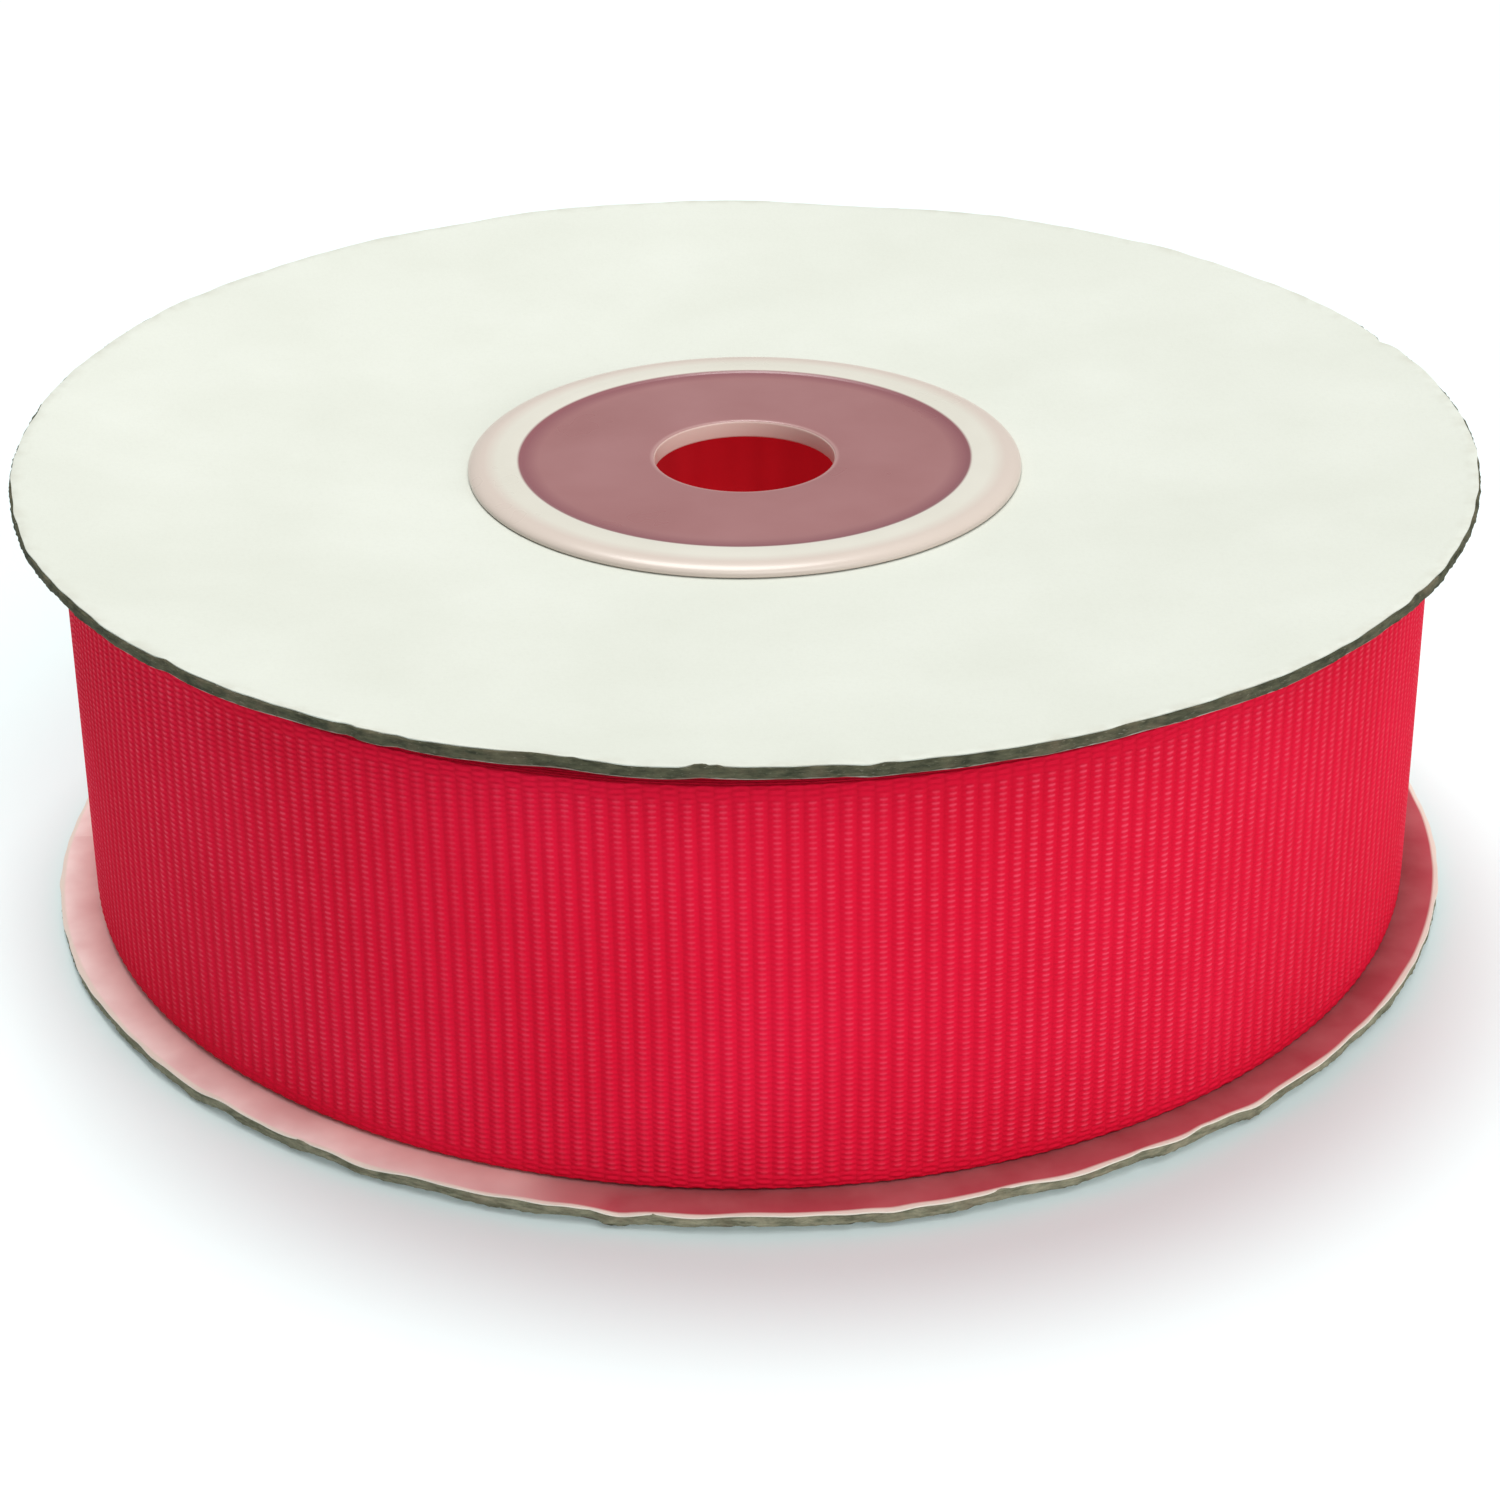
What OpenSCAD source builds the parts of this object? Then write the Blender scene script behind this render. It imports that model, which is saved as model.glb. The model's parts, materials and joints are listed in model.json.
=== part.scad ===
// Ribbon spool: two card flanges turn on a two-piece plastic hub that carries a wound ribbon.
// Millimetres, +Z up. The origin is the centre of the face that the lower hub half stands on.

/* [Flanges] */
// Diameter of both card flanges
flange_d = 93; // [90:1:140]
// Thickness of a flange's grey board core
board_t = 0.55; // [0.4:0.05:1]
// Thickness of the paper liner on each face of a flange
liner_t = 0.1; // [0.05:0.01:0.2]
// How far the upper flange's rim bows away from the ribbon
upper_bow = 2.3; // [0:0.1:4]
// How far the lower flange's rim bows away from the ribbon
lower_bow = 0.4; // [0:0.1:0.6]

/* [Ribbon] */
// Width of the ribbon, between the flanges
ribbon_w = 25.4; // [20:0.1:40]
// Thickness of one layer of ribbon
ribbon_t = 0.24; // [0.15:0.01:0.5]
// Diameter of the wound ribbon
pack_d = 87; // [50:0.2:88]
// Length of the loose tail at the ribbon's outer end
tail_l = 45; // [20:1:60]

/* [Tapes] */
// Thickness of both tapes
tape_t = 0.06; // [0.04:0.01:0.1]
// Width of the tape over the tail, along the spool's axis
tail_tape_w = 12; // [6:1:18]
// Length of the tape over the tail, round the pack
tail_tape_l = 18; // [10:1:19]
// Width of the tape that starts the winding, along the spool's axis
start_tape_w = 19; // [6:1:20]
// Length of the tape that starts the winding, round the barrel
start_tape_l = 14; // [8:1:20]

/* [Hub] */
// Diameter of the hub's lips, which hold the flanges on
lip_d = 35.6; // [33:0.2:46]
// Thickness of a lip
lip_t = 0.65; // [0.6:0.05:1.5]
// Outer diameter of the barrel
barrel_d = 29.8; // [26:0.2:31]
// Wall thickness of the barrel
barrel_wall = 1.6; // [1.4:0.1:2]
// Diameter of the hole for a spindle
spindle_d = 11.6; // [6:0.2:17]
// Thickness of the web round the spindle hole
web_t = 1.2; // [0.8:0.05:2]
// Depth of the web's outer face below the lip's
web_recess = 0.12; // [0.05:0.01:0.4]
// Length of the lower half's spigot, inside the upper half
spigot_l = 6; // [4:0.5:8]

/* [Hidden] */
$fn = 128;

play = 0.05;            // between a lip and the liner under it
turn_fit = 0.08;        // radial clearance of a flange on the barrel
ribbon_gap = 0.15;      // between the ribbon's edge and a flange
spigot_fit = 0.05;      // radial clearance of the spigot in the barrel
clamp_r = lip_d / 2 + 0.5;
flange_t = board_t + 2 * liner_t;
flange_r = flange_d / 2;
barrel_r = barrel_d / 2;
bore_r = spindle_d / 2;
hole_r = barrel_r + turn_fit;

lower_flange_z = lip_t + play;
ribbon_z = lower_flange_z + flange_t + ribbon_gap;
upper_flange_z = ribbon_z + ribbon_w + ribbon_gap;
hub_h = upper_flange_z + flange_t + play + lip_t;
split_z = hub_h / 2;

pack_r = pack_d / 2;
core_r = barrel_r + tape_t;
tail_r = pack_r + 0.05;
tail_outer_r = tail_r + ribbon_t;
tail_tape_r = tail_outer_r + 0.03;
tail_start = 60;
tail_end = tail_start + degrees(tail_l / tail_r);

lip_round = lip_t * 0.75;
recess_edge = 0.25;
recess_r = barrel_r - 0.35;
spigot_wall = 1.1;
spigot_r = barrel_r - barrel_wall - spigot_fit;
bead_h = 1;
bead_t = 0.2;
slot_w = 2;
slot_count = 4;

card_white = [0.91, 0.93, 0.89];
card_grey = [0.55, 0.56, 0.48];
hub_white = [0.88, 0.86, 0.82];
ribbon_red = [0.80, 0.09, 0.18];
film = [0.93, 0.93, 0.90];

function degrees(radians) = radians * 180 / PI;

// Outline of a quarter round from one angle to another, about a centre
function quarter(centre, r, from, to, steps = 8) = [
    for (i = [0:steps])
        let (a = from + (to - from) * i / steps)
        centre + r * [cos(a), sin(a)]
];

// A thin ring round the axis: flat where the lips clamp it, then a cone out to its rim
module bowed_ring(z, thickness, bow) {
    rotate_extrude()
        polygon([
            [hole_r, z],
            [clamp_r, z],
            [flange_r, z + bow],
            [flange_r, z + bow + thickness],
            [clamp_r, z + thickness],
            [hole_r, z + thickness],
        ]);
}

// Part of a shell of height h round the axis, from one angle to another
module arc_shell(r, thickness, z, h, from, to) {
    translate([0, 0, z])
        rotate([0, 0, from])
            rotate_extrude(angle = to - from)
                translate([r, 0])
                    square([thickness, h]);
}

// Lip, web and barrel of one hub half, standing on its outer face, with the barrel open upwards
module hub_cup(barrel_top) {
    rotate_extrude()
        polygon(concat(
            [[bore_r, web_recess]],
            [[recess_r - recess_edge, web_recess]],
            [[recess_r, 0]],
            quarter([lip_d / 2 - lip_round, lip_round], lip_round, -90, 0),
            [[lip_d / 2, lip_t]],
            [[barrel_r, lip_t]],
            [[barrel_r, barrel_top]],
            [[barrel_r - barrel_wall, barrel_top]],
            [[barrel_r - barrel_wall, web_recess + web_t]],
            [[bore_r, web_recess + web_t]]
        ));
}

// Outline of the ring that snaps into place, grown by a clearance
module bead_outline(extra) {
    translate([spigot_r - 0.5, split_z + spigot_l - 2 * bead_h - extra])
        square([0.5 + bead_t + extra, bead_h + 2 * extra]);
}

// Tube that plugs into the upper half, with a bead round it and slots that let it flex
module spigot() {
    base_z = split_z - 2;
    difference() {
        rotate_extrude() {
            translate([spigot_r - spigot_wall, base_z])
                square([spigot_wall, spigot_l + 2]);
            bead_outline(0);
        }
        for (i = [0:slot_count / 2 - 1])
            rotate([0, 0, i * 360 / slot_count])
                translate([-barrel_r, -slot_w / 2, split_z + 1])
                    cube([2 * barrel_r, slot_w, spigot_l]);
    }
}

// Foot of the spigot, which joins it to the wall of the lower barrel
module spigot_foot() {
    rotate_extrude()
        translate([spigot_r - spigot_wall, split_z - 2])
            square([barrel_r - 0.4 - spigot_r + spigot_wall, 2]);
}

module lower_hub_half() {
    color(hub_white) {
        hub_cup(split_z);
        spigot_foot();
        spigot();
    }
}

module upper_hub_half() {
    color(hub_white)
        difference() {
            translate([0, 0, hub_h])
                mirror([0, 0, 1])
                    hub_cup(hub_h - split_z);
            rotate_extrude()
                bead_outline(spigot_fit);
        }
}

module ribbon() {
    color(ribbon_red)
        rotate_extrude()
            translate([core_r, ribbon_z])
                square([pack_r - core_r, ribbon_w]);
}

module start_tape() {
    half = degrees(start_tape_l / barrel_r) / 2;
    color(film)
        arc_shell(barrel_r, tape_t, ribbon_z + (ribbon_w - start_tape_w) / 2, start_tape_w, -half, half);
}

module lower_flange_board() {
    color(card_grey) bowed_ring(lower_flange_z + liner_t, board_t, -lower_bow);
}

module lower_flange_outer_liner() {
    color(card_white) bowed_ring(lower_flange_z, liner_t, -lower_bow);
}

module lower_flange_inner_liner() {
    color(card_white) bowed_ring(lower_flange_z + liner_t + board_t, liner_t, -lower_bow);
}

module upper_flange_board() {
    color(card_grey) bowed_ring(upper_flange_z + liner_t, board_t, upper_bow);
}

module upper_flange_outer_liner() {
    color(card_white) bowed_ring(upper_flange_z + liner_t + board_t, liner_t, upper_bow);
}

module upper_flange_inner_liner() {
    color(card_white) bowed_ring(upper_flange_z, liner_t, upper_bow);
}

// The ribbon's outer end, which swings out about an axis along its base at tail_start
module ribbon_tail() {
    color(ribbon_red)
        arc_shell(tail_r, ribbon_t, ribbon_z, ribbon_w, tail_start, tail_end);
}

// Clear tape that laps half on the tail and half on the layer beyond it
module tail_tape() {
    half = degrees(tail_tape_l / tail_tape_r) / 2;
    color(film)
        arc_shell(tail_tape_r, tape_t, ribbon_z + (ribbon_w - tail_tape_w) / 2, tail_tape_w,
            tail_end - half, tail_end + half);
}

lower_hub_half();
upper_hub_half();
ribbon();
start_tape();
lower_flange_board();
lower_flange_outer_liner();
lower_flange_inner_liner();
upper_flange_board();
upper_flange_outer_liner();
upper_flange_inner_liner();
ribbon_tail();
tail_tape();
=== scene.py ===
"""Ribbon spool: two card flanges, a milky plastic hub and a wound grosgrain ribbon."""

import json
import math

import bpy
import numpy as np
from mathutils import Matrix, Vector

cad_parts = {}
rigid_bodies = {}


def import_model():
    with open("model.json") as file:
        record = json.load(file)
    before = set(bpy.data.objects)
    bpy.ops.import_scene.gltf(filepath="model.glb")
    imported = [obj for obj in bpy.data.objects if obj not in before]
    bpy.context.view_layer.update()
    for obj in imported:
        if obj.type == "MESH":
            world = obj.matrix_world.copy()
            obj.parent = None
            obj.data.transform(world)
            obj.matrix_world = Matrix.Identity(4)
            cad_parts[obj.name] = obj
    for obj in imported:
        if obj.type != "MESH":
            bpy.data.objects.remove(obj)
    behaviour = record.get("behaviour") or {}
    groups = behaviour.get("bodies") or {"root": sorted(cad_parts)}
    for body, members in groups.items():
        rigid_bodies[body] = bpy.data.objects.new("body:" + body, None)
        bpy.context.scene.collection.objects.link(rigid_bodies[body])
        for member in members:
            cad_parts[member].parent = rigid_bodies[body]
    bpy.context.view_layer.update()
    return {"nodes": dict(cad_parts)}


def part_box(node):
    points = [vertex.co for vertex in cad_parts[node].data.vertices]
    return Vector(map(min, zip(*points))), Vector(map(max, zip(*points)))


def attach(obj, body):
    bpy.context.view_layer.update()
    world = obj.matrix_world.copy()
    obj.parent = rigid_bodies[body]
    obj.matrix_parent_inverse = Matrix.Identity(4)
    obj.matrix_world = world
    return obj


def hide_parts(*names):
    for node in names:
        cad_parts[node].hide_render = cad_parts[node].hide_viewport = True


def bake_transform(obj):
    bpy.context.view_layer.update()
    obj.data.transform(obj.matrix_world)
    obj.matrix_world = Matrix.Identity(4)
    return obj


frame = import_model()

MM = 0.001
TURN = 2 * math.pi

# Sizes read from the frame, in metres
PACK_LOW, PACK_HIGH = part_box("ribbon")
HUB_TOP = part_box("upper_hub_half")[1][2]
FLANGE_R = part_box("upper_flange_board")[1][0]
PACK_R = PACK_HIGH[0]
RIBBON_Z0, RIBBON_Z1 = PACK_LOW[2], PACK_HIGH[2]
LIP_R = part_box("lower_hub_half")[1][0]

# Sizes that the design holds but no box gives, in metres
BARREL_R = 14.9 * MM
BARREL_INNER_R = 13.3 * MM
BORE_R = 5.8 * MM
HOLE_R = BARREL_R + 0.08 * MM
CLAMP_R = LIP_R + 0.5 * MM
LIP_T = 0.65 * MM
WEB_T = 1.2 * MM
WEB_RECESS = 0.12 * MM
CORE_R = BARREL_R + 0.06 * MM
LINER_T = 0.1 * MM
BOARD_T = 0.55 * MM

# The ribbon: a spiral strip whose outer end is the tail
RIBBON_T = 0.24 * MM
TURN_PITCH = 0.2866 * MM
TAIL_R = PACK_R + 0.05 * MM
TAIL_L = 45 * MM
TAIL_START = math.radians(60)
TAIL_END = TAIL_START + TAIL_L / TAIL_R
RIB_PITCH = 0.966 * MM
RIB_H = 0.085 * MM
YARN_PITCH = 0.349 * MM
SELVAGE = 0.85 * MM


# ---------------------------------------------------------------- meshes

def make_piece(name, points, faces):
    """A mesh object in the row frame, from arrays of points and faces."""
    mesh = bpy.data.meshes.new(name)
    mesh.from_pydata([tuple(p) for p in points], [], faces)
    mesh.update()
    mesh.polygons.foreach_set("use_smooth", [True] * len(mesh.polygons))
    piece = bpy.data.objects.new(name, mesh)
    bpy.context.scene.collection.objects.link(piece)
    return piece


def tube_faces(stations, loop, closed_round):
    """Quads between neighbouring cross-sections, each a closed loop of points."""
    return [
        (
            i * loop + j,
            ((i + 1) % stations) * loop + j,
            ((i + 1) % stations) * loop + (j + 1) % loop,
            i * loop + (j + 1) % loop,
        )
        for i in range(stations if closed_round else stations - 1)
        for j in range(loop)
    ]


def waves(angle, terms):
    """A smooth periodic wobble: a sum of (amplitude, cycles per turn, phase)."""
    total = np.zeros_like(angle)
    for size, cycles, phase in terms:
        total += size * np.sin(cycles * angle + phase)
    return total


def bump_at(angle, centre, width):
    """A round bump of height 1 about one angle."""
    away = (angle - centre + math.pi) % TURN - math.pi
    return np.exp(-((away / width) ** 2))


def facing_out(points, faces):
    """The faces turned so that the surface's normals point out."""
    total = 0.0
    for size in {len(face) for face in faces}:
        corners = points[np.array([face for face in faces if len(face) == size])]
        for k in range(1, size - 1):
            total += np.sum(corners[:, 0] * np.cross(corners[:, k], corners[:, k + 1]))
    return faces if total > 0 else [face[::-1] for face in faces]


def loop_piece(name, rings, closed_round):
    """A piece from rings[i, j]: station i along, point j round the cross-section."""
    stations, loop, _ = rings.shape
    faces = tube_faces(stations, loop, closed_round)
    if not closed_round:
        faces.append(tuple(range(loop - 1, -1, -1)))
        faces.append(tuple((stations - 1) * loop + j for j in range(loop)))
    points = rings.reshape(-1, 3)
    return make_piece(name, points, facing_out(points, faces))


def round_axis(radius, angle, height):
    """Points from cylindrical coordinates."""
    return np.stack([radius * np.cos(angle), radius * np.sin(angle), height], axis=-1)


def add_values(piece, name, values):
    """A number for each point, which a material reads by name."""
    attribute = piece.data.attributes.new(name, "FLOAT", "POINT")
    attribute.data.foreach_set("value", np.asarray(values, np.float32).ravel())


def join_pieces(name, parts):
    """Parts made into one piece."""
    for part in bpy.context.scene.objects:
        part.select_set(part in parts)
    bpy.context.view_layer.objects.active = parts[0]
    bpy.ops.object.join()
    parts[0].name = name
    parts[0].data.name = name
    return parts[0]


def smoothstep(low, high, x):
    """0 below low, 1 above high, and a smooth rise between them."""
    t = np.clip((x - low) / (high - low), 0, 1)
    return t * t * (3 - 2 * t)


# ---------------------------------------------------------------- ribbon

RIBBON_W = RIBBON_Z1 - RIBBON_Z0
HINGE_R = TAIL_R + RIBBON_T / 2
# How much of the ribbon bends at the tail's hinge, before and after it
BEND_BEFORE = 1.0 * MM
WOUND_END = TAIL_START - BEND_BEFORE / HINGE_R
OUTER_START = WOUND_END - TURN
# Columns of points in each hidden turn
COARSE_STEPS = 60
# How far the lower edge of the outermost turn is lifted, and how much more its upper edge is
OUTER_LIFT = -0.04 * MM
OUTER_SPREAD = 0.62 * MM
# Rows of points on a selvage, from its edge in, and columns on a rib, as shares of its pitch
SELVAGE_ROWS = np.array([0, 0.07, 0.16, 0.28, 0.42, 0.56, 0.70, 0.84, 0.98]) * MM
RIB_COLUMNS = np.array([0, 0.12, 0.30, 0.50, 0.70, 0.88])
# A selvage's checked weave, and the depth and width of its rounded edge
CHECK_W = 0.28 * MM
ROLL_DEPTH = 0.07 * MM
ROLL_W = 0.25 * MM


def spiral_r(phi):
    """Radius of the ribbon's middle layer at an angle counted through all the turns."""
    return HINGE_R + TURN_PITCH * (phi - TAIL_START) / TURN


def spiral_length(phi):
    """Length of ribbon from the hinge to an angle, negative before it."""
    away = phi - TAIL_START
    return HINGE_R * away + TURN_PITCH * away**2 / (2 * TURN)


def rib_angles(start, end):
    """Angles of the columns of points that draw each rib, with both ends."""
    # Angles to a little past both ends, for looking up the angle at a length
    fine = np.linspace(start - 0.1, end + 0.1, 4000)
    first = math.floor(spiral_length(start) / RIB_PITCH) - 1
    last = math.ceil(spiral_length(end) / RIB_PITCH) + 1
    places = (np.arange(first, last)[:, None] + RIB_COLUMNS[None, :]).ravel() * RIB_PITCH
    phis = np.interp(places, spiral_length(fine), fine)
    least = 0.05 * MM / HINGE_R
    phis = phis[(phis > start + least) & (phis < end - least)]
    return np.concatenate([[start], phis, [end]])


def weave_depth(along, across):
    """How far the woven surface lies below the tops of its ribs."""
    edge = np.minimum(across, RIBBON_W - across)
    place = along / RIB_PITCH
    number = np.floor(place)
    x = 2 * (place - number) - 1
    ridge = 0.5 + 0.5 * np.cos(math.pi * x)
    ridge *= 0.93 + 0.07 * np.sin(number * 2.1)
    check = 0.5 + 0.38 * np.cos(TURN * place) * np.cos(math.pi * edge / CHECK_W)
    inside = smoothstep(SELVAGE - 0.15 * MM, SELVAGE + 0.12 * MM, edge)
    height = check * (1 - inside) + ridge * inside
    rolled = ROLL_DEPTH * (1 - smoothstep(0, ROLL_W, edge))
    return RIB_H * (1 - height) + rolled


def cross_rows(fine):
    """Distances across the ribbon at which it has rows of points."""
    if not fine:
        return np.array([0, RIBBON_W])
    middle = np.linspace(SELVAGE_ROWS[-1], RIBBON_W - SELVAGE_ROWS[-1], 13)[1:-1]
    return np.concatenate([SELVAGE_ROWS, middle, RIBBON_W - SELVAGE_ROWS[::-1]])


def raised(radius, across):
    """Height of a point of the ribbon: the outer turns ride up against the bowed card."""
    share = smoothstep(PACK_R - 6 * MM, PACK_R - 0.4 * MM, radius)
    return RIBBON_Z0 + across + share * (OUTER_LIFT + OUTER_SPREAD * across / RIBBON_W)


def ribbon_strip(name, phis, fine_out, fine_in):
    """A closed strip of ribbon along the spiral."""
    out, back = cross_rows(fine_out), cross_rows(fine_in)[::-1]
    across = np.concatenate([out, back])[None, :] + 0 * phis[:, None]
    outside = np.concatenate([np.ones(len(out)), -np.ones(len(back))])[None, :]
    woven = np.concatenate([np.full(len(out), fine_out), np.full(len(back), fine_in)])[None, :]
    along = spiral_length(phis)[:, None] + 0 * across
    depth = np.where(woven, weave_depth(along, across), 0)
    radius = spiral_r(phis)[:, None] + outside * (RIBBON_T / 2 - depth)
    # The ribs wander a little, most near the lower edge
    lean = 0.10 * MM * np.sin(along / (7 * MM)) * np.exp(-across / (1.6 * MM))
    lean += 0.07 * MM * np.sin(along / (19 * MM) + across / (6 * MM))
    angle = phis[:, None] + np.where(woven, lean, 0) / HINGE_R
    height = raised(radius, across)
    piece = loop_piece(name, round_axis(radius, angle, height), closed_round=False)
    add_values(piece, "along", along)
    add_values(piece, "across", across)
    return piece


def wound_ribbon():
    """Every turn up to the bend, with the ribs and selvages drawn on the outer one."""
    turns = (HINGE_R - RIBBON_T / 2 - CORE_R) / TURN_PITCH
    # Whole turns inside the outer one that still clear the barrel's tape
    inner_end = OUTER_START - TURN * math.floor(turns - 1.1)
    steps = round((OUTER_START - inner_end) / TURN * COARSE_STEPS)
    inner = ribbon_strip("inner", np.linspace(inner_end, OUTER_START, steps + 1), False, False)
    outer = ribbon_strip("outer", rib_angles(OUTER_START, WOUND_END), True, False)
    piece = join_pieces("ribbon_wound", [inner, outer])
    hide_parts("ribbon")
    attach(piece, "spool_core")
    return piece


def tail_of_ribbon():
    """The loose end, woven on both faces because its back shows when it swings out."""
    piece = ribbon_strip("ribbon_loose_end", rib_angles(WOUND_END, TAIL_END), True, True)
    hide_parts("ribbon_tail")
    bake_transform(piece)
    return piece


FILM_W = 12 * MM
FILM_L = 18 * MM
FILM_T = 0.05 * MM
FILM_COLUMNS = 121
FILM_ROWS = 25
# Gaps under the film, over the tail and over the turn below it
OVER_TAIL = 0.02 * MM
OVER_TURN = 0.03 * MM
# Where the film steps down, measured past the ribbon's cut end
STEP_DOWN = (0.05 * MM, 1.3 * MM)
WRINKLE = 0.012 * MM
# The saw teeth that a dispenser leaves on the film's ends
TOOTH = 0.18 * MM
TOOTH_PITCH = 1.0 * MM


def film_on_tail():
    """Clear tape that steps down off the ribbon's cut end onto the turn below."""
    half = FILM_L / 2 / TAIL_R
    phis = np.linspace(TAIL_END - half, TAIL_END + half, FILM_COLUMNS)
    high = spiral_r(np.minimum(phis, TAIL_END)) + RIBBON_T / 2 + OVER_TAIL
    low = spiral_r(phis - TURN) + RIBBON_T / 2 + OVER_TURN
    away = (phis - TAIL_END) * TAIL_R
    under = high + (low - high) * smoothstep(*STEP_DOWN, away)
    middle = raised(PACK_R, RIBBON_W / 2)
    rows = np.linspace(-FILM_W / 2, FILM_W / 2, FILM_ROWS)
    across = np.concatenate([rows, rows[::-1]])[None, :] + 0 * phis[:, None]
    lift = np.concatenate([np.full(FILM_ROWS, FILM_T), np.zeros(FILM_ROWS)])[None, :]
    wrinkle = WRINKLE * np.sin(across / (1.7 * MM) + away[:, None] / (2.3 * MM))
    radius = under[:, None] + lift + wrinkle + WRINKLE
    teeth = TOOTH * np.abs(((across / TOOTH_PITCH) % 1) - 0.5)
    ends = np.zeros(len(phis))
    ends[0], ends[-1] = 1, -1
    angle = phis[:, None] + ends[:, None] * teeth / TAIL_R
    piece = loop_piece("tail_film", round_axis(radius, angle, middle + across), closed_round=False)
    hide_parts("tail_tape")
    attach(piece, "tail")
    return piece


# ---------------------------------------------------------------- card flanges

FLANGE_STEPS = 720
# Circles of points on a card, as shares of the way from the lips' clamp to its rim
CARD_SHARES = np.array([0, 0.12, 0.26, 0.42, 0.58, 0.74, 0.87, 0.94, 0.975])
# Circles of points on its cut edge, as shares of its thickness, and how far in each lies, in mm
EDGE_LEVELS = [0.0, 0.10, 0.34, 0.66, 0.90, 1.0]
EDGE_INSETS = np.array([0.07, 0.02, 0.0, 0.0, 0.02, 0.07])
# Where a rim is knocked up or down: angle in degrees, width in degrees, height in mm
UPPER_KNOCKS = [
    (-93.0, 0.8, 0.06), (-97.0, 3.0, -0.12), (-82.0, 1.2, -0.10), (-103.0, 3.5, 0.12),
    (-115.0, 2.5, -0.10), (-134.5, 1.5, 0.13), (-60.0, 5.0, 0.10), (20.0, 1.5, -0.15),
    (75.0, 1.0, 0.06), (150.0, 4.0, 0.06), (118.0, 2.5, -0.06), (48.0, 3.0, 0.05),
    (80.0, 9.0, -0.28),
]
LOWER_KNOCKS = [
    (-103.0, 1.6, 0.26), (-99.5, 1.2, -0.28), (-80.0, 1.4, -0.34), (-91.0, 3.5, 0.16),
    (-60.0, 2.0, 0.26), (-49.0, 1.8, -0.30), (-71.0, 2.0, 0.20), (-118.0, 2.0, -0.24),
    (-55.0, 0.9, 0.20), (-133.0, 3.2, 0.15), (-20.0, 4.0, -0.16), (15.0, 3.0, 0.15),
    (60.0, 4.0, -0.15),
    (105.0, 2.5, 0.20), (140.0, 3.5, -0.20), (172.0, 3.0, 0.16),
]
# Where a rim is chipped: angle in degrees, width in degrees, depth in mm
UPPER_CHIPS = [
    (-134.5, 0.8, 0.07), (-117.8, 0.6, 0.20), (-114.0, 0.7, 0.14), (20.0, 0.7, 0.22),
    (75.0, 0.5, 0.14),
]
LOWER_CHIPS = [(-101.5, 0.6, 0.14), (-60.5, 0.8, 0.18), (33.0, 0.8, 0.16), (131.0, 0.7, 0.20)]

# Where the paper on top is torn up at the rim: angle in degrees, width in degrees, height in mm
UPPER_BURRS = [
    (-93.2, 0.55, 0.26), (-92.0, 0.35, 0.14), (-104.5, 1.6, 0.12), (-101.5, 0.5, 0.08),
    (-116.0, 0.9, 0.06), (-134.5, 0.7, 0.06), (-81.0, 0.6, 0.07), (-64.0, 1.2, 0.08),
    (-33.0, 0.9, 0.06),
]
LOWER_BURRS = [
    (-97.0, 0.8, 0.10), (-72.0, 0.7, 0.12), (-125.0, 0.9, 0.10), (30.0, 0.8, 0.12),
    (150.0, 1.0, 0.12),
]

# A flange: the height of its underside, how far its rim bows, and by what share more toward an
# angle in degrees. Its edge: the insets of its layers in mm, bottom first, waves of (mm, cycles per
# turn, multiple of the phase), how far the cut edge swells down, and the lowest its rim may reach.
UPPER_FLANGE = {
    "z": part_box("upper_flange_inner_liner")[0][2],
    "bow": 2.2 * MM, "tilt": 0.10, "tilt_to": -135.0, "phase": 0.7,
    "knocks": UPPER_KNOCKS, "chips": UPPER_CHIPS, "burrs": UPPER_BURRS,
    "insets": (0.14, 0.0, 0.12), "swell": 0.10 * MM, "lowest": -math.inf,
    "rise_waves": [(0.05, 3, 1), (0.03, 7, 2), (0.02, 17, 1)],
}
LOWER_FLANGE = {
    "z": LIP_T + 0.05 * MM,
    "bow": -0.31 * MM, "tilt": 1.05, "tilt_to": 135.0, "phase": 2.3,
    "knocks": LOWER_KNOCKS, "chips": LOWER_CHIPS, "burrs": LOWER_BURRS,
    "insets": (0.70, 0.46, 0.40), "swell": 0.38 * MM, "lowest": -0.66 * MM,
    "rise_waves": [(0.05, 3, 1), (0.06, 11, 2), (0.07, 41, 1), (0.04, 67, 3)],
}


def with_bumps(values, angle, places):
    """Values round a flange with bumps of (angle in degrees, width in degrees, height in mm)."""
    for at, width, height in places:
        values = values + height * MM * bump_at(angle, math.radians(at), math.radians(width))
    return values


def rim_shape(angle, flange):
    """How high and how far out the rim lies, round the flange."""
    phase = flange["phase"]
    up = [(size * MM, cycles, phase * share) for size, cycles, share in flange["rise_waves"]]
    out = [(0.04 * MM, 5, phase), (0.025 * MM, 23, 3 * phase), (0.015 * MM, 61, phase)]
    chips = [(at, width, -depth) for at, width, depth in flange["chips"]]
    rise = with_bumps(waves(angle, up), angle, flange["knocks"])
    return rise, with_bumps(waves(angle, out), angle, chips)


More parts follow.
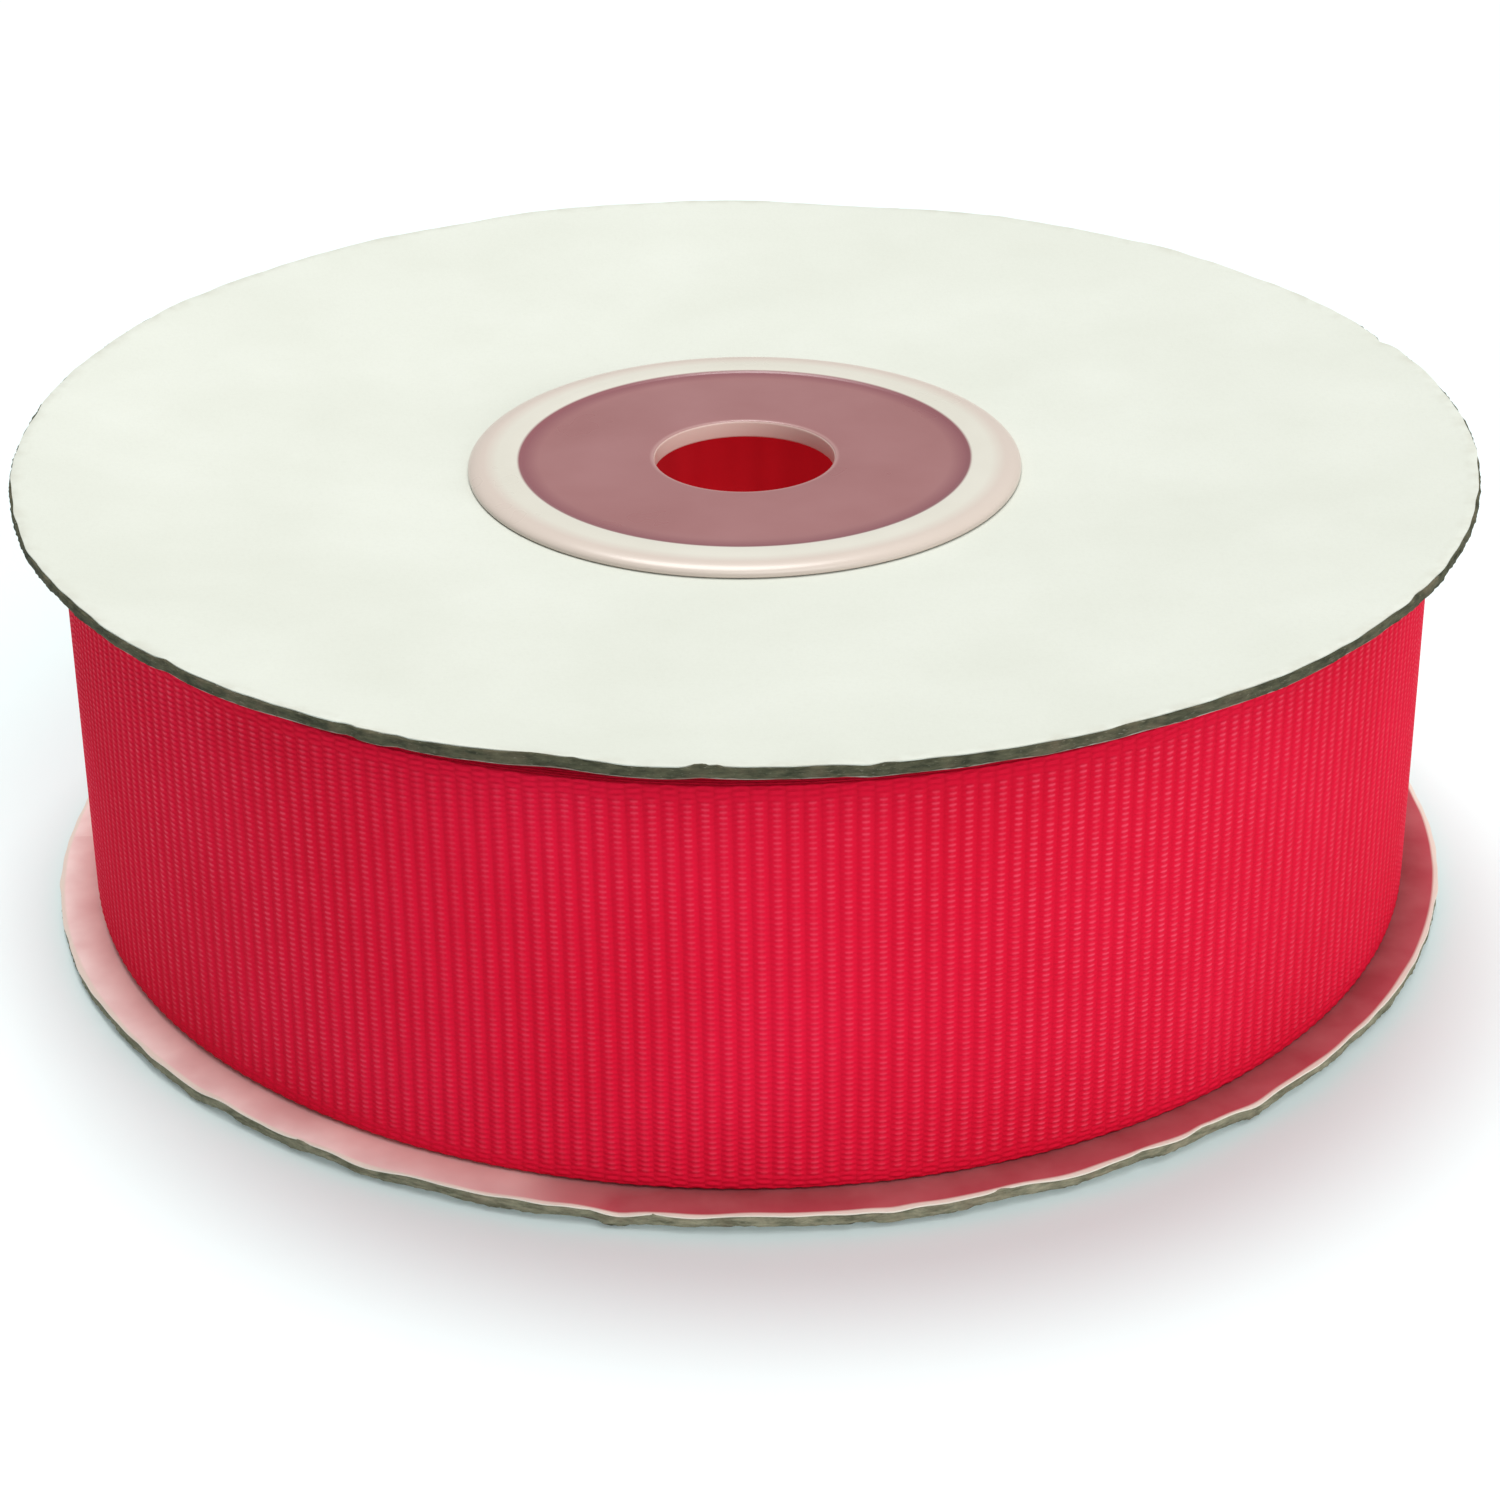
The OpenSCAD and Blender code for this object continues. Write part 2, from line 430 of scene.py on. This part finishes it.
def card_layer(name, node, low, high, flange, rim_in, fray, wear, swell_low, swell_high):
    """One layer of a flange, from height low to height high where the lips clamp it.

    Its rim lies rim_in short of the flange's radius. fray is how ragged its cut is, and wear is how
    far burrs and tears take its edge back, as a share. swell_low and swell_high are the shares of
    the swell at the cut that its lower and upper face follow.
    """
    angle = np.linspace(0, TURN, FLANGE_STEPS, endpoint=False)
    rise, out = rim_shape(angle, flange)
    radii = np.concatenate([[HOLE_R], CLAMP_R + CARD_SHARES * (FLANGE_R - CLAMP_R)])
    inset = EDGE_INSETS * min(1, (high - low) / (0.3 * MM)) * MM
    burr = with_bumps(np.zeros_like(angle), angle, flange["burrs"])
    ragged = waves(angle, [(0.035 * MM, 19, 0.3), (0.03 * MM, 47, 1.9), (0.02 * MM, 97, 0.8)])
    rim_r = FLANGE_R - rim_in + out - wear * (1.5 * burr + ragged)
    radius, level = [], []
    for r in radii:
        radius.append(np.full_like(angle, r))
        level.append(np.zeros_like(angle))
    for share_up, inward in zip(EDGE_LEVELS, inset):
        rough = fray * np.sin(angle * 211 + 9 * share_up)
        rough = rough * np.sin(angle * 83 + 5 * share_up + flange["phase"])
        rough = rough + 0.6 * fray * np.sin(angle * 337 + 21 * share_up)
        radius.append(rim_r - inward + rough)
        level.append(np.full_like(angle, share_up))
    for r in radii[::-1]:
        radius.append(np.full_like(angle, r))
        level.append(np.ones_like(angle))
    radius, level = np.stack(radius, axis=1), np.stack(level, axis=1)
    outward = np.clip((radius - CLAMP_R) / (FLANGE_R - CLAMP_R), 0, 1.02)
    bow = flange["bow"] * (1 + flange["tilt"] * np.cos(angle - math.radians(flange["tilt_to"])))
    near_rim = np.exp(-np.clip(FLANGE_R - radius, 0, None) / (1.3 * MM))
    burst = np.exp(-np.clip(FLANGE_R - radius, 0, None) / (0.5 * MM))
    swell = flange["swell"] * (1 + waves(angle, [(0.35, 13, 1.0), (0.25, 37, 2.0), (0.2, 71, 0.4)]))
    moved = bow[:, None] * outward**1.35 + rise[:, None] * near_rim
    moved -= swell[:, None] * burst * (swell_low * (1 - level) + swell_high * level)
    moved = np.maximum(moved, flange["lowest"])
    height = low + (high - low) * level + moved
    if fray:
        cut = slice(len(radii), len(radii) + len(EDGE_LEVELS))
        height[:, cut] += burr[:, None] * level[:, cut] ** 2
    points = round_axis(radius, angle[:, None] + 0 * radius, height)
    piece = loop_piece(name, points, closed_round=True)
    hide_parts(node)
    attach(piece, node.split("_")[0] + "_flange")
    return piece


def card_flange(side, flange):
    """The three layers of one flange, bottom first. The board swells downwards at its cut edge."""
    order = ["outer_liner", "board", "inner_liner"]
    if side == "upper":
        order.reverse()
    z = flange["z"]
    pieces = {}
    for number, layer in enumerate(order):
        thick = BOARD_T if layer == "board" else LINER_T
        pieces[layer] = card_layer(
            f"{side}_{layer}_card", f"{side}_flange_{layer}", z, z + thick, flange,
            rim_in=flange["insets"][number] * MM,
            fray=0.05 * MM if layer == "board" else 0.0,
            wear=1.0 if number == 2 else 0.0,
            swell_low=1.0 if number < 2 else 0.0,
            swell_high=1.0 if number < 1 else 0.0,
        )
        z += thick
    return pieces


# ---------------------------------------------------------------- hub

HUB_STEPS = 240
# Where the lip's flat top ends and the recess over the web begins
LEDGE_R = BARREL_R - 0.35 * MM


def turned(name, outline, start=0.0, end=TURN, steps=HUB_STEPS):
    """An outline of (radius, height) pairs turned about the axis."""
    outline = np.array(outline)
    whole = end - start > TURN - 1e-6
    angle = np.linspace(start, end, steps, endpoint=not whole)
    radius = outline[None, :, 0] + 0 * angle[:, None]
    height = outline[None, :, 1] + 0 * angle[:, None]
    points = round_axis(radius, angle[:, None] + 0 * radius, height)
    return loop_piece(name, points, closed_round=whole)


def arc(centre_r, centre_z, radius, start, end, steps=6):
    """Points of an arc in the outline's plane, by angles in degrees."""
    return [
        (
            centre_r + radius * math.cos(math.radians(a)),
            centre_z + radius * math.sin(math.radians(a)),
        )
        for a in np.linspace(start, end, steps + 1)
    ]


def cup_outline(top):
    """Web, lip and barrel of a hub half that stands on its outer face at height 0."""
    inner = WEB_RECESS + WEB_T
    soft, fillet, lip_round = 0.18 * MM, 0.3 * MM, 0.5 * MM
    stretch = 2.4  # how much wider than high the lip's round is
    lip_arc = arc(LIP_R - lip_round, lip_round, lip_round, -90, -8, 12)
    return (
        arc(BORE_R + soft, inner - soft, soft, 90, 180)
        + arc(BORE_R + soft, WEB_RECESS + soft, soft, 180, 270)
        + [(BORE_R + 1.2 * MM, WEB_RECESS), (LEDGE_R - 2.0 * MM, WEB_RECESS)]
        + [(LEDGE_R - 0.35 * MM, WEB_RECESS), (LEDGE_R - 0.2 * MM, 0.09 * MM)]
        + [(LEDGE_R - 0.08 * MM, 0.03 * MM), (LEDGE_R + 0.1 * MM, 0)]
        + [(LEDGE_R + 1.0 * MM, 0), (LIP_R - stretch * lip_round - 0.3 * MM, 0)]
        + [(LIP_R + stretch * (r - LIP_R), z) for r, z in lip_arc]
        + [(LIP_R, LIP_T - 0.1 * MM)]
        + arc(LIP_R - 0.08 * MM, LIP_T - 0.08 * MM, 0.08 * MM, 0, 90, 3)
        + [(BARREL_R + 0.15 * MM, LIP_T), (BARREL_R, LIP_T + 0.05 * MM)]
        + [(BARREL_R, top - 0.1 * MM), (BARREL_R - 0.1 * MM, top)]
        + [(BARREL_INNER_R + 0.1 * MM, top), (BARREL_INNER_R, top - 0.1 * MM)]
        + [(BARREL_INNER_R, inner + fillet)]
        + arc(BARREL_INNER_R - fillet, inner + fillet, fillet, 0, -90, 4)
    )


def upper_hub():
    """The half seen from above: the cup turned over."""
    outline = [(r, HUB_TOP - z) for r, z in cup_outline(HUB_TOP / 2)]
    piece = turned("hub_upper_half", outline)
    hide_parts("upper_hub_half")
    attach(piece, "spool_core")
    return piece


def lower_hub():
    """The half that the spool stands on, with the split spigot that snaps into the other."""
    split, spigot_l, wall = HUB_TOP / 2, 6 * MM, 1.1 * MM
    spigot_r, bead, slot, foot = BARREL_INNER_R - 0.05 * MM, 0.2 * MM, 2 * MM, 2 * MM
    top = split + spigot_l
    outline = [
        (spigot_r - wall, split - foot), (spigot_r + 0.3 * MM, split - foot),
        (spigot_r + 0.3 * MM, split - 0.02 * MM), (spigot_r, split),
        (spigot_r, top - 2.2 * MM), (spigot_r + bead, top - 1.8 * MM),
        (spigot_r + bead, top - 1.3 * MM),
        (spigot_r, top - 0.8 * MM), (spigot_r - 0.2 * MM, top), (spigot_r - wall, top),
    ]
    parts = [turned("cup", cup_outline(split))]
    half_slot = slot / 2 / spigot_r
    for quarter in range(4):
        start = quarter * TURN / 4 + half_slot
        parts.append(turned("finger", outline, start, start + TURN / 4 - 2 * half_slot, 40))
    piece = join_pieces("hub_lower_half", parts)
    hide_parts("lower_hub_half")
    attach(piece, "spool_core")
    return piece


# ---------------------------------------------------------------- materials

class Nodes:
    """A material's node tree, with short ways to add nodes and join them."""

    def __init__(self, name):
        self.material = bpy.data.materials.new(name)
        self.material.use_nodes = True
        self.tree = self.material.node_tree
        self.surface = self.tree.nodes["Principled BSDF"]

    def add(self, kind, settings=None, **inputs):
        """A new node, with its settings and its inputs: numbers, colours or other nodes' outputs."""
        node = self.tree.nodes.new(kind)
        for key, value in (settings or {}).items():
            setattr(node, key, value)
        for key, value in inputs.items():
            self.put(node, key.replace("_", " "), value)
        return node

    def put(self, node, key, value):
        socket = node.inputs[key]
        if isinstance(value, bpy.types.NodeSocket):
            self.tree.links.new(value, socket)
        else:
            socket.default_value = value

    def calc(self, operation, *values):
        node = self.add("ShaderNodeMath", {"operation": operation})
        for place, value in enumerate(values):
            self.put(node, place, value)
        return node.outputs[0]

    def times(self, first, second):
        return self.calc("MULTIPLY", first, second)

    def plus(self, first, second):
        return self.calc("ADD", first, second)

    def place(self):
        """Object coordinates, in metres."""
        return self.add("ShaderNodeTexCoord").outputs["Object"]

    def axes(self):
        parts = self.add("ShaderNodeSeparateXYZ", Vector=self.place())
        return parts.outputs["X"], parts.outputs["Y"], parts.outputs["Z"]

    def radius(self):
        """Distance from the spool's axis."""
        x, y, _ = self.axes()
        return self.calc("SQRT", self.plus(self.times(x, x), self.times(y, y)))

    def around(self, radius):
        """Distance round the axis at a radius, the radius itself and the height, as a vector."""
        x, y, z = self.axes()
        turn = self.times(self.calc("ARCTAN2", y, x), radius)
        return self.add("ShaderNodeCombineXYZ", X=turn, Y=self.radius(), Z=z).outputs[0]

    def value(self, name):
        """A number that add_values put on the points."""
        return self.add("ShaderNodeAttribute", {"attribute_name": name}).outputs["Fac"]

    def stretched(self, vector, x, y, z):
        """A vector scaled along each axis, which draws a noise out along the smallest."""
        node = self.add("ShaderNodeVectorMath", {"operation": "MULTIPLY"})
        self.put(node, 0, vector)
        self.put(node, 1, (x, y, z))
        return node.outputs[0]

    def noise(self, vector, scale, detail=2.0, rough=0.5):
        return self.add(
            "ShaderNodeTexNoise", Vector=vector, Scale=scale, Detail=detail, Roughness=rough
        ).outputs["Fac"]

    def span(self, value, low, high, to_low=0.0, to_high=1.0):
        """A value from low to high mapped to another span, held at its ends."""
        node = self.add("ShaderNodeMapRange", {"clamp": True})
        for place, number in enumerate((value, low, high, to_low, to_high)):
            self.put(node, place, number)
        return node.outputs[0]

    def mix(self, share, first, second, blend="MIX"):
        node = self.add("ShaderNodeMix", {"data_type": "RGBA", "blend_type": blend})
        self.put(node, 0, share)
        self.put(node, 6, first)
        self.put(node, 7, second)
        return node.outputs[2]

    def bump(self, height, distance, strength=1.0, normal=None):
        node = self.add("ShaderNodeBump", Strength=strength, Distance=distance, Height=height)
        if normal is not None:
            self.put(node, "Normal", normal)
        return node.outputs[0]

    def finish(self, **inputs):
        """The material, with these inputs to its surface."""
        for key, value in inputs.items():
            self.put(self.surface, key.replace("_", " "), value)
        return self.material


def colour(red, green, blue):
    """A colour given in the usual 0 to 255 screen values, as linear light."""
    parts = [c / 255 for c in (red, green, blue)]
    linear = [c / 12.92 if c <= 0.04045 else ((c + 0.055) / 1.055) ** 2.4 for c in parts]
    return (*linear, 1.0)


def paper_material(name):
    """White coated paper: faint mottling, short fibres, and a rim soiled by handling."""
    m, tone, grain, cloud = plain_paper(name)
    handled = m.span(m.radius(), FLANGE_R - 1.1 * MM, FLANGE_R - 0.2 * MM)
    soiled = m.times(handled, m.span(m.noise(m.place(), 700, 4), 0.42, 0.66))
    tone = m.mix(m.times(soiled, 0.3), tone, colour(172, 168, 152))
    return finish_paper(m, tone, grain, cloud)


def shaded_paper_material(name):
    """The liner under a board, with painted shade darkening its cut edge in patches."""
    m, tone, grain, cloud = plain_paper(name)
    shade_patches = m.span(m.noise(m.place(), 500, 3), 0.35, 0.65, 0.55, 1.0)
    # Painted shade: the liner's edge darkens to brown
    edge = m.times(m.span(m.radius(), FLANGE_R - 1.1 * MM, FLANGE_R - 0.8 * MM), shade_patches)
    return finish_paper(m, m.mix(edge, tone, colour(124, 96, 84)), grain, cloud)


def red_bounce_paper_material(name):
    """The liner the ribbon lies on: painted red reflection of the ribbon and painted shade next to
    it, deepest on one side, and a clean rim.
    """
    m, tone, grain, cloud = plain_paper(name)
    x, y, _ = m.axes()
    side = m.plus(m.times(x, 0.707), m.times(y, -0.707))
    uneven = m.span(m.noise(m.place(), 120, 2), 0.3, 0.7, -0.08, 0.08)
    side = m.plus(m.calc("DIVIDE", side, FLANGE_R), uneven)
    close = m.span(m.radius(), PACK_R + 0.2 * MM, FLANGE_R - 0.8 * MM)
    # Maroon close to the ribbon and pink further out: painted shade and painted red reflection,
    # stronger on one side
    deep_shade_red = m.mix(close, colour(150, 64, 70), colour(184, 76, 88))
    light = m.mix(close, colour(242, 190, 188), colour(252, 234, 230))
    painted_bounce = m.mix(m.span(side, 0.30, 0.60), light, deep_shade_red)
    blotch = m.span(m.noise(m.around(45 * MM), 260, 3), 0.35, 0.7, 0.0, 0.35)
    painted_bounce = m.mix(blotch, painted_bounce, colour(206, 128, 132))
    inside = m.span(m.radius(), FLANGE_R - 0.60 * MM, FLANGE_R - 0.76 * MM)
    tone = m.mix(inside, colour(234, 226, 214), painted_bounce)
    return finish_paper(m, tone, grain, cloud)


def plain_paper(name):
    """The nodes that every liner shares."""
    m = Nodes(name)
    place = m.place()
    cloud = m.noise(place, 90, 3)
    fibres = m.noise(m.stretched(place, 1, 2.6, 1), 2600, 3, 0.65)
    cross_fibres = m.noise(m.stretched(place, 2.6, 1, 1), 2300, 3, 0.65)
    grain = m.times(m.plus(fibres, cross_fibres), 0.5)
    tone = m.mix(m.span(cloud, 0.1, 0.9), colour(201, 204, 194), colour(211, 214, 206))
    tone = m.mix(m.span(grain, 0.3, 0.55, 0.16, 0), tone, colour(186, 186, 177))
    return m, tone, grain, cloud


def finish_paper(m, tone, grain, cloud):
    """A liner's material, from the shared nodes and its own tone."""
    return m.finish(
        Base_Color=tone,
        Roughness=m.span(cloud, 0.1, 0.9, 0.62, 0.76),
        Normal=m.bump(grain, 0.03 * MM, 0.35),
        Specular_IOR_Level=0.18,
    )


def board_material(name, dark, pale):
    """Grey chipboard cut through: compressed layers of mixed fibre."""
    m = Nodes(name)
    flow = m.around(45 * MM)
    layers = m.noise(m.stretched(flow, 1, 1, 3.5), 900, 5, 0.65)
    clumps = m.noise(flow, 420, 3, 0.6)
    flecks = m.noise(m.stretched(flow, 1, 1, 4), 3400, 2, 0.6)
    tone = m.mix(m.span(layers, 0.34, 0.66), dark, pale)
    tone = m.mix(m.span(clumps, 0.5, 0.75, 0, 0.4), tone, colour(132, 116, 96))
    tone = m.mix(m.span(flecks, 0.62, 0.72, 0, 0.2), tone, colour(190, 186, 168))
    rough = m.plus(layers, m.times(flecks, 0.6))
    return m.finish(
        Base_Color=tone,
        Roughness=0.92,
        Normal=m.bump(rough, 0.09 * MM, 0.8),
        Specular_IOR_Level=0.2,
    )


# A painted glow: the red inside of the barrel gives off a little light, standing in for the light
# that milky plastic lets in through the web, which a surface colour can't do
PAINTED_GLOW_IN_HUB = 0.15
# Depth below the hub's end faces at which the red inside starts, within the web's thickness
INSIDE_DEPTH = 1.26 * MM


def hub_material():
    """Milky plastic: white over card, mauve where the red ribbon shows through it from below."""
    m = Nodes("milky plastic")
    place = m.place()
    radius = m.radius()
    _, _, z = m.axes()
    cloud = m.noise(place, 150, 3)
    web = m.mix(m.span(cloud, 0.0, 1.0), colour(141, 91, 91), colour(157, 111, 112))
    # Painted highlight: a lighter ring round the bore's rounded edge, and the bore's wall painted
    # lighter still
    web = m.mix(m.span(radius, BORE_R + 0.35 * MM, BORE_R + 0.15 * MM), web, colour(168, 128, 126))
    web = m.mix(m.span(radius, BORE_R + 0.06 * MM, BORE_R + 0.02 * MM), web, colour(226, 202, 192))
    # Painted shade: a darker ring in the web round the edge of its recess
    recess_shade = m.span(radius, LEDGE_R - 1.3 * MM, LEDGE_R - 0.35 * MM, 0, 0.9)
    web = m.mix(recess_shade, web, colour(130, 78, 84))
    lip = m.mix(m.span(cloud, 0.0, 1.0), colour(201, 197, 185), colour(212, 209, 199))
    # Painted shade and red reflection: the lip's sloped edge is tinted pinkish grey
    bevel_shade = m.span(radius, LIP_R - 1.9 * MM, LIP_R - 1.0 * MM, 0, 0.7)
    lip = m.mix(bevel_shade, lip, colour(196, 178, 169))
    outside = m.mix(m.span(radius, LEDGE_R - 0.05 * MM, LEDGE_R + 0.12 * MM), web, lip)
    from_middle = m.calc("ABSOLUTE", m.calc("SUBTRACT", z, HUB_TOP / 2))
    inside = m.calc("LESS_THAN", from_middle, HUB_TOP / 2 - INSIDE_DEPTH)
    streaks = m.noise(m.stretched(m.around(13 * MM), 1, 1, 0.02), 420, 1)
    red = m.mix(m.span(streaks, 0.35, 0.65), colour(208, 34, 50), colour(226, 40, 58))
    gloss = m.span(cloud, 0.0, 1.0, 0.24, 0.34)
    return m.finish(
        Base_Color=m.mix(inside, outside, red),
        Roughness=m.calc("MAXIMUM", gloss, m.times(inside, 0.75)),
        # Painted glow inside the barrel
        Emission_Color=m.mix(inside, (0, 0, 0, 1), red),
        Emission_Strength=PAINTED_GLOW_IN_HUB,
        IOR=1.49,
    )


def ribbon_material():
    """Red grosgrain: warp yarns that cross each rib and catch the light on its crest, partly through
    bump and gloss and partly as a painted highlight in the colour.
    """
    m = Nodes("red grosgrain")
    along, across = m.value("along"), m.value("across")
    rib = m.calc("DIVIDE", along, RIB_PITCH)
    number = m.calc("FLOOR", rib)
    # 1 on the crest of a rib and 0 in the valley beside it
    from_crest = m.calc("SUBTRACT", m.times(m.calc("FRACT", rib), 2), 1.0)
    crest = m.calc("SUBTRACT", 1.0, m.calc("ABSOLUTE", from_crest))
    flow = m.add("ShaderNodeCombineXYZ", X=along, Y=across, Z=0.0).outputs[0]
    uneven = m.noise(flow, 260, 3)
    shift = m.times(m.calc("SINE", m.times(number, 1.7)), 0.5)
    row = m.plus(m.calc("DIVIDE", across, YARN_PITCH), shift)
    row = m.plus(row, m.times(uneven, 1.1))
    yarn = m.plus(0.5, m.times(m.calc("COSINE", m.times(row, TURN)), 0.5))
    edge = m.calc("MINIMUM", across, m.calc("SUBTRACT", RIBBON_W, across))
    body = m.span(edge, 0.75 * MM, 1.0 * MM)
    on_crest = m.span(crest, 0.46, 0.68)
    lit = m.times(m.times(m.calc("POWER", yarn, 2.2), on_crest), body)
    lit = m.times(lit, m.span(m.noise(flow, 700, 2), 0.3, 0.62, 0.30, 1.0))
    streaks = m.noise(m.stretched(flow, 1, 0.3, 1), 26, 2)
    lit = m.times(lit, m.span(streaks, 0.32, 0.66, 0.12, 1.0))
    lit = m.plus(lit, m.times(m.span(crest, 0.70, 0.96), m.times(body, 0.14)))
    patch = m.noise(flow, 55, 2)
    tone = m.mix(m.span(patch, 0.3, 0.7), colour(215, 20, 50), colour(225, 25, 59))
    # Painted shade: the valleys between ribs are darker red
    tone = m.mix(m.span(crest, 0.5, 0.0, 0, 0.24), tone, colour(164, 8, 26))
    # Painted highlight: the yarns' glints and a faint line along each crest lighten the colour
    tone = m.mix(m.times(lit, 0.36), tone, colour(255, 104, 132))
    fibre = m.noise(m.stretched(flow, 1, 5, 1), 3000, 2)
    height = m.times(yarn, m.span(crest, 0.0, 0.6, 0.3, 1.0))
    normal = m.bump(fibre, 0.02 * MM, 0.3)
    return m.finish(
        Base_Color=tone,
        Roughness=m.span(lit, 0, 0.8, 0.85, 0.45),
        Normal=m.bump(height, 0.07 * MM, 0.8, normal),
        Specular_IOR_Level=0.08,
        Specular_Tint=colour(255, 120, 145),
    )


def film_material():
    """Clear tape, slightly milky, with a fine grain and small air marks."""
    m = Nodes("clear tape")
    place = m.place()
    marks = m.noise(place, 1800, 3, 0.6)
    tone = m.mix(m.span(marks, 0.45, 0.7), colour(226, 224, 214), colour(242, 242, 236))
    return m.finish(
        Base_Color=tone,
        Roughness=m.span(marks, 0.4, 0.7, 0.10, 0.28),
        Alpha=0.03,
        Normal=m.bump(marks, 0.02 * MM, 0.4),
        IOR=1.5,
    )


# The floor's own light, which keeps its shadows as pale as a white studio's
FLOOR_GLOW = 0.11


def floor_material():
    """A plain pale floor."""
    m = Nodes("pale floor")
    tone = m.mix(m.noise(m.place(), 3, 2), colour(214, 228, 229), colour(217, 230, 231))
    return m.finish(
        Base_Color=tone,
        Roughness=0.8,
        Emission_Color=(0.88, 0.98, 1.0, 1),
        Emission_Strength=FLOOR_GLOW,
    )


def dress(pieces, material):
    """Pieces given a material."""
    for piece in pieces:
        piece.data.materials.clear()
        piece.data.materials.append(material)


# ---------------------------------------------------------------- scene

# The camera stands CAMERA_AWAY from the foot of the ribbon, CAMERA_UP above the level, and looks
# CAMERA_DIP downwards, which matches the photo's viewing angle
CAMERA_AWAY = 241.1 * MM
CAMERA_UP = math.radians(28.7)
CAMERA_DIP = math.radians(27.55)
CAMERA_ROLL = math.radians(-0.54)
CAMERA_LENS = 85.2
CAMERA_SHIFT = (0.0018, 0.0)
DAYLIGHT = (1.0, 0.99, 0.965)


def set_camera():
    """The camera that the scene is seen through."""
    data = bpy.data.cameras.new("camera")
    data.lens = CAMERA_LENS
    data.sensor_width = 36
    data.shift_x, data.shift_y = CAMERA_SHIFT
    data.clip_start = 0.01
    camera = bpy.data.objects.new("camera", data)
    bpy.context.scene.collection.objects.link(camera)
    height = RIBBON_Z0 + CAMERA_AWAY * math.sin(CAMERA_UP)
    place = Matrix.Translation((0, -CAMERA_AWAY * math.cos(CAMERA_UP), height))
    tilt = Matrix.Rotation(math.pi / 2 - CAMERA_DIP, 4, "X")
    camera.matrix_world = place @ tilt @ Matrix.Rotation(CAMERA_ROLL, 4, "Z")
    bpy.context.scene.camera = camera


def sun_light(name, toward, strength, spread, tint):
    """A soft sun that shines from a direction, given as (right, back, up)."""
    data = bpy.data.lights.new(name, "SUN")
    data.energy = strength
    data.angle = math.radians(spread)
    data.color = tint
    light = bpy.data.objects.new(name, data)
    bpy.context.scene.collection.objects.link(light)
    light.rotation_euler = Vector(toward).to_track_quat("Z", "Y").to_euler()


def set_lights():
    """Plain soft studio light: an even surround and three wide suns."""
    world = bpy.data.worlds.new("studio")
    world.use_nodes = True
    surround = world.node_tree.nodes["Background"]
    surround.inputs["Color"].default_value = (0.92, 0.975, 1.0, 1)
    surround.inputs["Strength"].default_value = 0.30
    bpy.context.scene.world = world
    sun_light("overhead", (-0.08, 0.34, 1.0), 2.35, 30, DAYLIGHT)
    sun_light("front", (0.22, -0.50, 0.85), 1.25, 40, DAYLIGHT)
    sun_light("low", (0.76, -0.62, 0.18), 1.25, 45, (1.0, 0.985, 0.96))


def set_floor():
    """A flat floor, 6 m across, that isn't part of the object."""
    half = 3.0
    points = [(-half, -half, 0), (half, -half, 0), (half, half, 0), (-half, half, 0)]
    floor = make_piece("floor", points, [(0, 1, 2, 3)])
    floor.data.materials.append(floor_material())


set_camera()
set_lights()
set_floor()
bpy.context.scene.view_settings.view_transform = "Standard"

RIBBON = ribbon_material()
PAPER = paper_material("white paper")
dress([wound_ribbon(), tail_of_ribbon()], RIBBON)
dress([film_on_tail()], film_material())

UPPER = card_flange("upper", UPPER_FLANGE)
LOWER = card_flange("lower", LOWER_FLANGE)
dress([UPPER["outer_liner"]], PAPER)
dress(
    [UPPER["inner_liner"], LOWER["outer_liner"]],
    shaded_paper_material("white paper, painted edge shade"),
)
dress([LOWER["inner_liner"]], red_bounce_paper_material("white paper, painted red reflection"))
# The upper board is a darker copy of the lower board's colours: painted shade on its cut edge
dress(
    [UPPER["board"]],
    board_material("grey board, shaded", colour(52, 54, 41), colour(90, 89, 70)),
)
dress(
    [LOWER["board"]],
    board_material("grey board", colour(98, 99, 80), colour(156, 153, 130)),
)
dress([upper_hub(), lower_hub()], hub_material())
for holder in frame["nodes"]["start_tape"].material_slots:
    holder.material = film_material()
